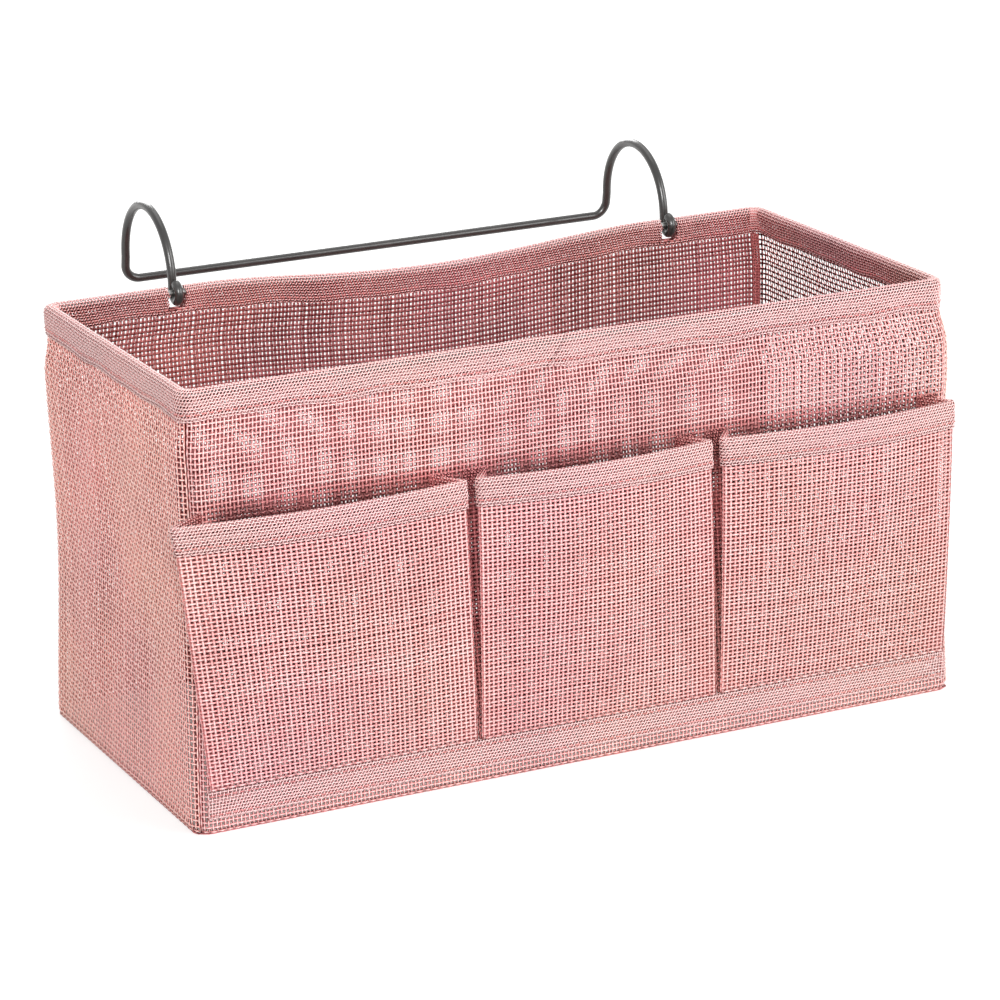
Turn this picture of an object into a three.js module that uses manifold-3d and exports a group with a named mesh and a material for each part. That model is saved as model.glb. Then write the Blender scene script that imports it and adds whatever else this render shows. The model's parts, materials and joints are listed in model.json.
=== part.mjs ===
// Bedside caddy: a sewn box of open mesh cloth with three bellows pockets on its front.
// A steel ring inside the rim hem keeps the mouth open, and a bent wire hanger, whose eyes
// turn on the back run of that ring, hooks the caddy over a bed rail.
// Millimetres, +Z up. The origin is the middle of the face that the caddy stands on.
// The pockets face -Y, and the rail side faces +Y.

import * as THREE from "three";
import { mergeVertices } from "three/addons/utils/BufferGeometryUtils.js";
import Module from "manifold-3d";

const wasm = await Module();
wasm.setup();

// Cloth
const CLOTH = 0.8; // one layer of mesh cloth
const EASE = 0.3; // left between two layers that are sewn on each other

// Bag
const RIM_WIDTH = 360; // outside of the rim hem, left to right
const RIM_DEPTH = 168; // outside of the rim hem, front to back
const RIM_HEIGHT = 190; // floor to the top of the rim hem
const RIM_CORNER_RADIUS = 8; // outside of the hem, as the ring inside it is bent
const BASE_CORNER_RADIUS = 5; // upright corners of the box at the floor
const BASE_EDGE_RADIUS = 3; // roll of the walls into the bottom
const BASE_SPREAD = 3; // how far the walls stand out past the rim at the floor
const HEM_SPREAD = 0.8; // and just under the hem
const TUCK_HEIGHT = 17; // over which they tuck in behind the hem
const WALL_DRAW_IN = 2.2; // how far the walls pull in between the ring and the base
const BACK_SAG = 6; // drop of the back rim midway between the hooks
const HEM_HEIGHT = 13; // folded band round the mouth
const RIM_WIRE = 3; // diameter of the ring in the hem

// Grid of openings in the walls, fewer and larger than the holes of the mesh cloth
const OPENING_BAR = 8; // cloth left between two openings
const OPENING_ROWS = 6;
const LONG_WALL_OPENINGS = 12; // across the front and across the back
const SHORT_WALL_OPENINGS = 5; // across each side

// Base board and corner bindings
const BOARD_THICKNESS = 2;
const BOARD_EASE = 1.5; // board to the walls around it
const BINDING_WIDTH = 3.4; // tape over each corner seam
const BINDING_THICKNESS = 1.2;

// Pockets
const BAND_BOTTOM = 9; // sewn band under the pockets, above the floor
const BAND_HEIGHT = 11;
const POCKET_TOP = 139.5; // mouth of the pockets, above the floor
const POCKET_HEM_HEIGHT = 12.5;
const LEFT_POCKET_WIDTH = 124;
const MIDDLE_POCKET_WIDTH = 115; // the right pocket takes the rest of the row
const MOUTH_EDGE_DEPTH = 15; // how far a mouth stands out at its two folds
const MOUTH_MIDDLE_DEPTH = 21; // and halfway between them
const MOUTH_GAP = 6; // between two neighbouring pockets at the mouth
const FOOT_GAP = 0.8; // and where they meet the band
const END_SPREAD = 7; // lean of the row's two outer folds at the mouth
const MOUTH_SHIFT = 5.7; // how far all the mouths hang over to the left
const PLEAT = 10; // how far a side gusset folds in behind the pocket front

// Hanger
const HANGER_WIRE = 4; // diameter
const LEFT_HOOK_INSET = 63; // hook to the left outside of the rim
const RIGHT_HOOK_INSET = 51; // hook to the right outside of the rim
const HOOK_RADIUS = 29; // centre line of the arch over the rail
const HOOK_LEG = 3.65; // straight rise from the eye to the arch
const BACK_LEG = 11.45; // fall from the arch to the bar
const BACK_LEG_FLARE = 2.2; // how far the bar stands out behind the arch
const BAR_BEND_RADIUS = 7;
const EYE_EASE = 0.4; // eye to the ring that it turns on
const EYE_MOUTH = 2.2; // left open in the eye, less than the ring's diameter
const EYE_SEAT = 12; // straight run of the ring kept beside each eye
const NOTCH_EASE = 1.2; // hem to the turning eye

// Facet counts
const CORNER_STEPS = 6;
const SAG_STEPS = 10;
const ROLL_STEPS = 2;
const FOLD_STEPS = 3;
const BINDING_STEPS = 5;
const POCKET_COLUMNS = 8;
const POCKET_ROWS = 7;
const WIRE_SIDES = 8;
const ARCH_STEPS = 13; // odd, so that one flat facet lies level under each crown
const EYE_STEPS = 12;
const BEND_STEPS = 5;
const NOTCH_SIDES = 20;
const NUDGE = 0.01; // share of a pocket's width or height, to find which way its front faces

// Worked out from the sizes above
const LAYER = CLOTH + EASE;
const HEM_THICKNESS = 3 * LAYER + RIM_WIRE;
const HEM_BOTTOM = RIM_HEIGHT - HEM_HEIGHT;
const RING_Z = RIM_HEIGHT - HEM_THICKNESS / 2;
const WALL_TOP = RING_Z - 2 * EASE;
const RING_INSET = 2 * LAYER + RIM_WIRE / 2;
const RING_Y = RIM_DEPTH / 2 - RING_INSET;
const LEFT_HOOK_X = LEFT_HOOK_INSET - RIM_WIDTH / 2;
const RIGHT_HOOK_X = RIM_WIDTH / 2 - RIGHT_HOOK_INSET;
const HANGER_X = (LEFT_HOOK_X + RIGHT_HOOK_X) / 2;
const SAG_HALF = (RIGHT_HOOK_X - LEFT_HOOK_X) / 2 - EYE_SEAT;
const EYE_RADIUS = RIM_WIRE / 2 + EYE_EASE + HANGER_WIRE / 2;
const NOTCH_RADIUS = EYE_RADIUS + HANGER_WIRE / 2 + NOTCH_EASE;
const BAND_TOP = BAND_BOTTOM + BAND_HEIGHT;
const POCKET_FOOT = BAND_TOP + EASE;
const POCKET_HEM_THICKNESS = 3 * CLOTH + 2 * EASE;
const POCKET_SHEET_TOP = POCKET_TOP - POCKET_HEM_THICKNESS / 2;

// Finishes
const FINISHES = {
  mesh: { color: 0xeeaaa6, roughness: 0.85, metalness: 0 },
  folded: { color: 0xf0b4b0, roughness: 0.85, metalness: 0 },
  board: { color: 0xd8d2ca, roughness: 0.7, metalness: 0 },
  ring: { color: 0x8d8f92, roughness: 0.4, metalness: 0.9 },
  enamel: { color: 0x2a2927, roughness: 0.3, metalness: 0.4 },
};

const { lerp, smoothstep } = THREE.MathUtils;
const vector = (x, y, z) => new THREE.Vector3(x, y, z);
const steps = (count, from, to) => Array.from({ length: count + 1 }, (_, i) => lerp(from, to, i / count));

// A closed body from points and triangles, turned so that its faces point out.
function solid(points, triangles) {
  const volume = triangles.reduce((sum, [a, b, c]) => {
    return sum + points[a].dot(points[b].clone().cross(points[c]));
  }, 0);
  const faces = volume < 0 ? triangles.map(([a, b, c]) => [a, c, b]) : triangles;
  const geometry = new THREE.BufferGeometry().setFromPoints(points);
  geometry.setIndex(faces.flat());
  return geometry;
}

function quad(a, b, c, d) {
  return [
    [a, b, c],
    [a, c, d],
  ];
}

// A sheet of the given thickness behind a grid of points on its outer face.
// isOpen(j, i) tells whether the cell above row j and right of column i is left open.
function sheet(rows, thickness, isOpen = () => false) {
  const top = rows.length - 1;
  const end = rows[0].length - 1;
  const at = (j, i) => rows[Math.min(Math.max(j, 0), top)][Math.min(Math.max(i, 0), end)];
  const back = rows.map((row, j) =>
    row.map((point, i) => {
      const along = at(j, i + 1).clone().sub(at(j, i - 1));
      const up = at(j + 1, i).clone().sub(at(j - 1, i));
      return point.clone().addScaledVector(along.cross(up).normalize(), -thickness);
    }),
  );
  const outer = (j, i) => j * (end + 1) + i;
  const inner = (j, i) => outer(top + 1 + j, i);
  const isCloth = (j, i) => j >= 0 && j < top && i >= 0 && i < end && !isOpen(j, i);
  const faces = [];
  const closeEdge = (j, i, from, to) => {
    if (!isCloth(j, i)) {
      faces.push(...quad(outer(...from), inner(...from), inner(...to), outer(...to)));
    }
  };
  for (let j = 0; j < top; j++) {
    for (let i = 0; i < end; i++) {
      if (isCloth(j, i)) {
        faces.push(...quad(outer(j, i), outer(j, i + 1), outer(j + 1, i + 1), outer(j + 1, i)));
        faces.push(...quad(inner(j, i), inner(j + 1, i), inner(j + 1, i + 1), inner(j, i + 1)));
        closeEdge(j - 1, i, [j, i], [j, i + 1]);
        closeEdge(j, i + 1, [j, i + 1], [j + 1, i + 1]);
        closeEdge(j + 1, i, [j + 1, i + 1], [j + 1, i]);
        closeEdge(j, i - 1, [j + 1, i], [j, i]);
      }
    }
  }
  return solid([...rows.flat(), ...back.flat()], faces);
}

// A section carried along stations, each an origin with an axis for the section's x and for its y.
function sweep(section, stations, closed = false) {
  const ring = THREE.ShapeUtils.isClockWise(section) ? [...section].reverse() : section;
  const count = ring.length;
  const points = stations.flatMap(({ origin, x, y }) =>
    ring.map((p) => origin.clone().addScaledVector(x, p.x).addScaledVector(y, p.y)),
  );
  const faces = [];
  const last = stations.length - 1;
  for (let s = 0; s < (closed ? last + 1 : last); s++) {
    const here = s * count;
    const next = ((s + 1) % stations.length) * count;
    for (let k = 0; k < count; k++) {
      const other = (k + 1) % count;
      faces.push(...quad(here + k, next + k, next + other, here + other));
    }
  }
  if (!closed) {
    const far = last * count;
    for (const [a, b, c] of THREE.ShapeUtils.triangulateShape(ring, [])) {
      faces.push([a, b, c], [far + a, far + c, far + b]);
    }
  }
  return solid(points, faces);
}

// Takes the cutters out of a body.
function cut(geometry, cutters) {
  const body = (source) => {
    const bare = source.clone();
    bare.deleteAttribute("normal");
    bare.deleteAttribute("uv");
    const merged = mergeVertices(bare);
    const vertProperties = new Float32Array(merged.attributes.position.array);
    const triVerts = new Uint32Array(merged.index.array);
    return new wasm.Manifold(new wasm.Mesh({ numProp: 3, vertProperties, triVerts }));
  };
  const result = cutters.reduce((left, cutter) => left.subtract(body(cutter)), body(geometry)).getMesh();
  const cutGeometry = new THREE.BufferGeometry();
  cutGeometry.setAttribute("position", new THREE.BufferAttribute(result.vertProperties, 3));
  cutGeometry.setIndex(new THREE.BufferAttribute(result.triVerts, 1));
  return cutGeometry;
}

// Box outline
// The outer face of the walls lies this far inside the rim's outline at height z, or outside it where
// they spread.
function wallInset(z) {
  const share = Math.min(z / HEM_BOTTOM, 1);
  const spread = lerp(BASE_SPREAD, HEM_SPREAD, share);
  const pull = WALL_DRAW_IN * Math.sin(Math.PI * share) ** 2;
  const tuck = (HEM_SPREAD + LAYER) * smoothstep(z, HEM_BOTTOM - TUCK_HEIGHT, HEM_BOTTOM);
  const below = Math.max(0, BASE_EDGE_RADIUS - z);
  const roll = BASE_EDGE_RADIUS - Math.sqrt(BASE_EDGE_RADIUS ** 2 - below ** 2);
  return pull + tuck + roll - spread;
}

function wallRadius(z) {
  return lerp(BASE_CORNER_RADIUS, RIM_CORNER_RADIUS - LAYER, Math.min(z / HEM_BOTTOM, 1));
}

const frontFace = (z) => wallInset(z) - RIM_DEPTH / 2;

// The back rim hangs lower between the hooks, and runs straight where the eyes turn on it.
function backSag(x) {
  const share = Math.min(Math.abs(x - HANGER_X) / SAG_HALF, 1);
  return BACK_SAG * (1 - share ** 2) ** 2;
}

const sagPlaces = steps(SAG_STEPS, HANGER_X - SAG_HALF, HANGER_X + SAG_HALF);

// Walls
// Edges of openings spread evenly from one place to another, two for each opening.
function openingEdges(count, from, to) {
  const pitch = (to - from + OPENING_BAR) / count;
  const width = pitch - OPENING_BAR;
  return steps(count - 1, from, to - width).flatMap((edge) => [edge, edge + width]);
}

const openingHeights = openingEdges(OPENING_ROWS, BASE_EDGE_RADIUS + OPENING_BAR, HEM_BOTTOM - TUCK_HEIGHT);

// Counted from the first edge, every second cell is an opening.
const isOpening = (cell, count) => cell >= 0 && cell < 2 * count && cell % 2 === 0;

// A wall runs from the middle of one rounded corner to the middle of the next, and leans with them.
// It is drawn facing -Y; run holds the places of its openings' edges.
function wallRows(halfAlong, halfOut, run, drop) {
  const rolled = steps(ROLL_STEPS, LAYER, BASE_EDGE_RADIUS);
  return [...rolled, ...openingHeights, HEM_BOTTOM, WALL_TOP].map((z) => {
    const radius = wallRadius(z);
    const along = halfAlong - wallInset(z) - radius;
    const out = halfOut - wallInset(z) - radius;
    const seam = EASE / 2 / radius;
    const angles = steps(CORNER_STEPS / 2, Math.PI / 4 - seam, 0);
    const corner = (side, angle) => [
      side * (along + radius * Math.sin(angle)),
      out + radius * Math.cos(angle),
    ];
    const outline = [
      ...angles.map((angle) => corner(-1, angle)),
      ...run.map((place) => [place, out + radius]),
      ...angles.toReversed().map((angle) => corner(1, angle)),
    ];
    return outline.map(([x, y]) => vector(x, -y, z - (drop(x) * z) / WALL_TOP));
  });
}

function wall(quarterTurns) {
  const turned = quarterTurns % 2 === 1;
  const halfAlong = (turned ? RIM_DEPTH : RIM_WIDTH) / 2;
  const halfOut = (turned ? RIM_WIDTH : RIM_DEPTH) / 2;
  const drop = quarterTurns === 2 ? (x) => backSag(-x) : () => 0;
  const count = turned ? SHORT_WALL_OPENINGS : LONG_WALL_OPENINGS;
  const reach = halfAlong - RIM_CORNER_RADIUS - OPENING_BAR;
  const rows = wallRows(halfAlong, halfOut, openingEdges(count, -reach, reach), drop);
  const firstColumn = CORNER_STEPS / 2 + 1;
  const firstRow = ROLL_STEPS + 1;
  const isOpen = (j, i) => isOpening(j - firstRow, OPENING_ROWS) && isOpening(i - firstColumn, count);
  return sheet(rows, CLOTH, isOpen).rotateZ((quarterTurns * Math.PI) / 2);
}

// Room for the hanger's eyes to turn, cut through the hem and the back wall.
function eyeNotches() {
  return [LEFT_HOOK_X, RIGHT_HOOK_X].map((x) => {
    const width = HANGER_WIRE + 2 * NOTCH_EASE;
    const notch = new THREE.CylinderGeometry(NOTCH_RADIUS, NOTCH_RADIUS, width, NOTCH_SIDES);
    return notch.rotateZ(Math.PI / 2).translate(x, RING_Y, RING_Z);
  });
}

// A flat plate with the floor outline of the box, set in from the walls' outer face at the floor.
function floorPlate(inset, thickness, z) {
  const halfX = RIM_WIDTH / 2 - wallInset(LAYER) - inset;
  const halfY = RIM_DEPTH / 2 - wallInset(LAYER) - inset;
  const outline = new THREE.Shape();
  for (const [k, [sideX, sideY]] of [[1, 1], [-1, 1], [-1, -1], [1, -1]].entries()) {
    const x = sideX * (halfX - BASE_CORNER_RADIUS);
    const y = sideY * (halfY - BASE_CORNER_RADIUS);
    outline.absarc(x, y, BASE_CORNER_RADIUS, (k * Math.PI) / 2, ((k + 1) * Math.PI) / 2);
  }
  outline.closePath();
  const plate = new THREE.ExtrudeGeometry(outline, {
    depth: thickness,
    bevelEnabled: false,
    curveSegments: CORNER_STEPS / 2,
  });
  return plate.translate(0, 0, z);
}

// Tape over the seam in one corner of the box, domed across its width.
function cornerBinding(sideX, sideY) {
  const section = new THREE.Shape()
    .moveTo(0, -BINDING_WIDTH / 2)
    .quadraticCurveTo(2 * BINDING_THICKNESS, 0, 0, BINDING_WIDTH / 2)
    .getPoints(BINDING_STEPS);
  const out = vector(sideX, sideY, 0).normalize();
  const across = vector(-out.y, out.x, 0);
  const heights = [BASE_EDGE_RADIUS, ...openingHeights, HEM_BOTTOM - EASE];
  const stations = heights.map((z) => {
    const radius = wallRadius(z);
    const x = sideX * (RIM_WIDTH / 2 - wallInset(z) - radius);
    const y = sideY * (RIM_DEPTH / 2 - wallInset(z) - radius);
    return { origin: vector(x, y, z).addScaledVector(out, radius + EASE), x: out, y: across };
  });
  return sweep(section, stations);
}

// Rim
// Stations round the mouth, set in from the rim's outline, with x pointing out and y up.
function rimStations(inset, z) {
  const radius = RIM_CORNER_RADIUS - inset;
  const place = (x, y, out) => ({ origin: vector(x, y, z), x: out, y: vector(0, 0, 1) });
  const corners = [[1, 1], [-1, 1], [-1, -1], [1, -1]].map(([sideX, sideY], k) => {
    const x = sideX * (RIM_WIDTH / 2 - RIM_CORNER_RADIUS);
    const y = sideY * (RIM_DEPTH / 2 - RIM_CORNER_RADIUS);
    return steps(CORNER_STEPS, (k * Math.PI) / 2, ((k + 1) * Math.PI) / 2).map((angle) => {
      const out = vector(Math.cos(angle), Math.sin(angle), 0);
      return place(x + radius * out.x, y + radius * out.y, out);
    });
  });
  const back = sagPlaces.toReversed().map((x) => {
    const station = place(x, RIM_DEPTH / 2 - inset, vector(0, 1, 0));
    station.origin.z -= backSag(x);
    return station;
  });
  return [...corners[0], ...back, ...corners[1], ...corners[2], ...corners[3]];
}

// A band of cloth folded over an edge: two layers joined by a round fold, open at the bottom.
function foldSection(thickness, height) {
  const radius = thickness / 2;
  return new THREE.Shape()
    .moveTo(0, -height)
    .lineTo(0, -radius)
    .absarc(-radius, -radius, radius, 0, Math.PI)
    .lineTo(-thickness, -height)
    .lineTo(CLOTH - thickness, -height)
    .lineTo(CLOTH - thickness, -radius)
    .absarc(-radius, -radius, radius - CLOTH, Math.PI, 0, true)
    .lineTo(-CLOTH, -height)
    .getPoints(FOLD_STEPS);
}

// A regular outline for drawn wire, with flats facing along both of its axes.
function wireSection(diameter) {
  const turn = (2 * Math.PI) / WIRE_SIDES;
  return steps(WIRE_SIDES - 1, turn / 2, 2 * Math.PI - turn / 2).map((angle) => {
    return new THREE.Vector2(Math.cos(angle), Math.sin(angle)).multiplyScalar(diameter / 2);
  });
}

const rimHem = () => sweep(foldSection(HEM_THICKNESS, HEM_HEIGHT), rimStations(0, RIM_HEIGHT), true);
const rimWire = () => sweep(wireSection(RIM_WIRE), rimStations(RING_INSET, RING_Z), true);

// Pockets
const rowHalf = RIM_WIDTH / 2 - wallInset(BAND_TOP) - wallRadius(BAND_TOP);
const leftDivide = LEFT_POCKET_WIDTH - rowHalf;
const rightDivide = leftDivide + MIDDLE_POCKET_WIDTH;

// left and right are a pocket's bounds on the band; its folds lean from them towards the mouth.
const parting = (MOUTH_GAP - FOOT_GAP) / 2;
const pockets = [
  { name: "left_pocket", left: -rowHalf, right: leftDivide, lean: [-END_SPREAD, -parting] },
  { name: "middle_pocket", left: leftDivide, right: rightDivide, lean: [parting, -parting] },
  { name: "right_pocket", left: rightDivide, right: rowHalf, lean: [parting, END_SPREAD] },
];

// Depth of the front's outer face before the wall, at share v of its height and share u of its width.
function pocketDepth(u, v) {
  const open = Math.sin((v * Math.PI) / 2);
  const edge = lerp(2 * LAYER, MOUTH_EDGE_DEPTH, open);
  return edge + (MOUTH_MIDDLE_DEPTH - MOUTH_EDGE_DEPTH) * open * Math.sin(u * Math.PI);
}

const pocketHeight = (v) => lerp(POCKET_FOOT, POCKET_SHEET_TOP, v);
const leftFold = (pocket, v) => pocket.left + FOOT_GAP / 2 + (pocket.lean[0] - MOUTH_SHIFT) * v;
const rightFold = (pocket, v) => pocket.right - FOOT_GAP / 2 + (pocket.lean[1] - MOUTH_SHIFT) * v;

function pocketPoint(pocket, u, v) {
  const z = pocketHeight(v);
  const x = lerp(leftFold(pocket, v), rightFold(pocket, v), u);
  return vector(x, frontFace(z) - pocketDepth(u, v), z);
}

function pocketFront(pocket) {
  const rows = steps(POCKET_ROWS, 0, 1).map((v) => {
    return steps(POCKET_COLUMNS, 0, 1).map((u) => pocketPoint(pocket, u, v));
  });
  return sheet(rows, CLOTH);
}

// The mouth hem follows the top edge of the front and stands square to it.
function pocketHem(pocket) {
  const stations = steps(POCKET_COLUMNS, 0, 1).map((u) => {
    const origin = pocketPoint(pocket, u, 1);
    const up = origin.clone().sub(pocketPoint(pocket, u, 1 - NUDGE)).normalize();
    const along = pocketPoint(pocket, u + NUDGE, 1).sub(pocketPoint(pocket, u - NUDGE, 1));
    const out = along.cross(up).normalize();
    origin.addScaledVector(out, LAYER).addScaledVector(up, POCKET_HEM_THICKNESS / 2);
    return { origin, x: out, y: up };
  });
  return sweep(foldSection(POCKET_HEM_THICKNESS, POCKET_HEM_HEIGHT), stations);
}

// A gusset runs from a fold of the front back to its seam on the wall, behind the pocket.
function pocketGusset(pocket, side) {
  const hemBack = LAYER + CLOTH + 2 * EASE;
  const rows = steps(POCKET_ROWS, 0, 1).map((v) => {
    const z = pocketHeight(v);
    const fold = side < 0 ? leftFold(pocket, v) : rightFold(pocket, v);
    const seam = fold - side * PLEAT;
    const foldDepth = pocketDepth(0, v) - lerp(LAYER, hemBack, v);
    const row = [vector(fold, frontFace(z) - foldDepth, z), vector(seam, frontFace(z) - LAYER, z)];
    return side < 0 ? row : row.toReversed();
  });
  return sheet(rows, CLOTH);
}

// Folded strip that the three pockets are sewn down with.
function pocketBand() {
  const thickness = 2 * CLOTH;
  const profile = new THREE.Shape()
    .moveTo(0, 0)
    .lineTo(thickness - CLOTH, 0)
    .absarc(thickness - CLOTH, CLOTH, CLOTH, -Math.PI / 2, 0)
    .absarc(thickness - CLOTH, BAND_HEIGHT - CLOTH, CLOTH, 0, Math.PI / 2)
    .lineTo(0, BAND_HEIGHT)
    .getPoints(FOLD_STEPS);
  const back = Math.min(frontFace(BAND_BOTTOM), frontFace(BAND_TOP)) - EASE;
  const stations = [-rowHalf, rowHalf].map((x) => {
    return { origin: vector(x, back, BAND_BOTTOM), x: vector(0, -1, 0), y: vector(0, 0, 1) };
  });
  return sweep(profile, stations);
}

// Hanger
// An arc in the plane of one hook, from angle a to angle b, counted from +Y towards +Z.
function hookArc(x, y, z, radius, a, b, count) {
  return steps(count, a, b).map((angle) => {
    return vector(x, y + radius * Math.cos(angle), z + radius * Math.sin(angle));
  });
}

// Half of the wire's centre line, from the open end of an eye to the bar, at the hook's place x.
// The eye goes over, in front of and under the ring, and the hook rises behind it.
// inward is +1 where the bar leaves towards +X, and -1 where it leaves towards -X.
function hookLine(x, inward) {
  const archZ = RING_Z + HOOK_LEG;
  const archY = RING_Y + EYE_RADIUS + HOOK_RADIUS;
  const openEnd = Math.acos(1 - (HANGER_WIRE / 2 + EYE_MOUTH) / EYE_RADIUS);
  const eye = hookArc(x, RING_Y, RING_Z, EYE_RADIUS, openEnd, 2 * Math.PI, EYE_STEPS);
  const arch = hookArc(x, archY, archZ, HOOK_RADIUS, Math.PI, 0, ARCH_STEPS);
  const legEnd = arch[arch.length - 1];
  const corner = vector(x, legEnd.y + BACK_LEG_FLARE, legEnd.z - BACK_LEG);
  const down = corner.clone().sub(legEnd).normalize();
  const centre = corner.clone().addScaledVector(down, -BAR_BEND_RADIUS);
  centre.x += inward * BAR_BEND_RADIUS;
  const bend = steps(BEND_STEPS, 0, Math.PI / 2).map((angle) => {
    const point = centre.clone().addScaledVector(down, BAR_BEND_RADIUS * Math.sin(angle));
    point.x -= inward * BAR_BEND_RADIUS * Math.cos(angle);
    return point;
  });
  return [...eye, ...arch, ...bend];
}

// Stations along a bent wire: each section is the last one, turned only as far as the bend needs.
function wireStations(line) {
  const tangents = line.map((point, i) => {
    const before = line[Math.max(i - 1, 0)];
    const after = line[Math.min(i + 1, line.length - 1)];
    const into = point.clone().sub(before).normalize();
    const outOf = after.clone().sub(point).normalize();
    return into.add(outOf).normalize();
  });
  const side = vector(1, 0, 0);
  return line.map((origin, i) => {
    if (i > 0) {
      const turn = new THREE.Quaternion().setFromUnitVectors(tangents[i - 1], tangents[i]);
      side.applyQuaternion(turn);
    }
    return { origin, x: side.clone(), y: tangents[i].clone().cross(side) };
  });
}

function hangerWire() {
  const line = [...hookLine(LEFT_HOOK_X, 1), ...hookLine(RIGHT_HOOK_X, -1).toReversed()];
  return sweep(wireSection(HANGER_WIRE), wireStations(line));
}

// Assembly
const caddy = new THREE.Group();
caddy.name = "bedside_caddy";

function add(name, geometry, finish) {
  const mesh = new THREE.Mesh(geometry, new THREE.MeshStandardMaterial(FINISHES[finish]));
  mesh.name = name;
  caddy.add(mesh);
}

add("bottom_panel", floorPlate(0, CLOTH, 0), "mesh");
add("base_board", floorPlate(CLOTH + BOARD_EASE, BOARD_THICKNESS, LAYER), "board");
add("front_panel", wall(0), "mesh");
add("right_panel", wall(1), "mesh");
add("back_panel", cut(wall(2), eyeNotches()), "mesh");
add("left_panel", wall(3), "mesh");
add("front_left_binding", cornerBinding(-1, -1), "folded");
add("front_right_binding", cornerBinding(1, -1), "folded");
add("back_left_binding", cornerBinding(-1, 1), "folded");
add("back_right_binding", cornerBinding(1, 1), "folded");
add("rim_hem", cut(rimHem(), eyeNotches()), "folded");
add("rim_wire", rimWire(), "ring");
add("pocket_band", pocketBand(), "folded");
for (const pocket of pockets) {
  add(`${pocket.name}_front`, pocketFront(pocket), "mesh");
  add(`${pocket.name}_hem`, pocketHem(pocket), "folded");
  add(`${pocket.name}_left_gusset`, pocketGusset(pocket, -1), "mesh");
  add(`${pocket.name}_right_gusset`, pocketGusset(pocket, 1), "mesh");
}
add("hanger_wire", hangerWire(), "enamel");

export default caddy;
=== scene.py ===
# %% [markdown]
# # A bedside caddy sewn from mesh cloth
# The real caddy is a soft box. A steel ring in its rim holds the mouth open, three bellows pockets sit on
# its front, and a bent wire hanger hooks it over a bed rail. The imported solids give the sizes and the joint.
# This script dresses them: wherever a solid is cloth, a net of real woven threads stands for it, because at
# this distance the eye sees each hole and crossing. Lengths are in metres, +Z is up, the pockets face -Y.

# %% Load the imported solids
import json

import bpy
import numpy as np
from mathutils import Matrix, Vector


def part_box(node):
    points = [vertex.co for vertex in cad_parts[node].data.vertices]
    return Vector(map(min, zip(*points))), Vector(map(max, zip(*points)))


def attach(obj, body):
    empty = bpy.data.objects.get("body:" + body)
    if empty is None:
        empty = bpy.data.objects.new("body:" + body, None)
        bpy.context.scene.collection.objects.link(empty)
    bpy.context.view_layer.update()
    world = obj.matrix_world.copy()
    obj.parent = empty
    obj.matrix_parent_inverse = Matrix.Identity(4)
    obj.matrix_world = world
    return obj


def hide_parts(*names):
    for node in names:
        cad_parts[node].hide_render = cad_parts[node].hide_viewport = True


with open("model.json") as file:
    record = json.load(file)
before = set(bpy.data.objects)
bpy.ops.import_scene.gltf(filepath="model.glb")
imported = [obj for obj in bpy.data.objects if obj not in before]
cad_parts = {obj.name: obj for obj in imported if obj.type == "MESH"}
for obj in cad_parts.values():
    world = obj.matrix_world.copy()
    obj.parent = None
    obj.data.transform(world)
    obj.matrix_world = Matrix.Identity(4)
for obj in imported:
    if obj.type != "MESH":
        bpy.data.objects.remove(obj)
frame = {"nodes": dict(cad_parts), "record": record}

MM = 0.001
scene = bpy.context.scene
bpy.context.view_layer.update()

# %% [markdown]
# ## The camera
# A shop photograph is often taken from far away with a long lens, so that a box shows little perspective.
# The place and the turn below make the eight corners of the box fall where the photograph has them.
# A camera looks along its own -Z, so the three columns of its matrix are right, up and backwards.

# %% The camera
FOCAL_LENGTH, IMAGE_SIDE = 4000, 1000  # in pixels
CAMERA_PLACE = np.array([-725, -1529, 620]) * MM
AZIMUTH, ELEVATION, ROLL = np.radians([-25.39, 17.26, -1.44])

level = np.array([np.cos(AZIMUTH), np.sin(AZIMUTH), 0])
away = np.array([np.sin(AZIMUTH), -np.cos(AZIMUTH), 0])
backward = away * np.cos(ELEVATION) + [0, 0, np.sin(ELEVATION)]
steep = np.cross(backward, level)
right = level * np.cos(ROLL) + steep * np.sin(ROLL)
upward = steep * np.cos(ROLL) - level * np.sin(ROLL)


def add_object(name, data):
    """A new object in the scene."""
    made = bpy.data.objects.new(name, data)
    scene.collection.objects.link(made)
    return made


def stand(thing, *columns):
    """Sets an object up by its right, upward and backward directions and its place."""
    matrix = np.vstack([np.column_stack(columns), [0, 0, 0, 1]])
    thing.matrix_world = Matrix(matrix.tolist())


camera = add_object("camera", bpy.data.cameras.new("camera"))
camera.data.lens = FOCAL_LENGTH / IMAGE_SIDE * camera.data.sensor_width
stand(camera, right, upward, backward, CAMERA_PLACE)
scene.camera = camera
print("lens:", camera.data.lens, "mm")

# %% [markdown]
# ## Writing shader maths as sums
# A pattern in a material is a formula, but a node tree hides it. A small class wraps one socket, and its
# operators add Math nodes, so that a line such as 0.4 + 0.2 * grain can be read. A second class holds the
# tree of one material and makes every other kind of node.

# %% Sockets that can be summed
class Wire:
    """A node's output. A sum of wires and numbers adds one Math node for each operator."""

    def __init__(self, finish, socket):
        self.finish = finish
        self.socket = socket

    def maths(self, operation, other):
        return self.finish.node("Math", {"operation": operation}, {0: self, 1: other})

    def __add__(self, other):
        return self.maths("ADD", other)

    __radd__ = __add__

    def __sub__(self, other):
        return self.maths("SUBTRACT", other)

    def __mul__(self, other):
        return self.maths("MULTIPLY", other)

    __rmul__ = __mul__

    def at_least(self, other):
        return self.maths("MAXIMUM", other)


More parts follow.
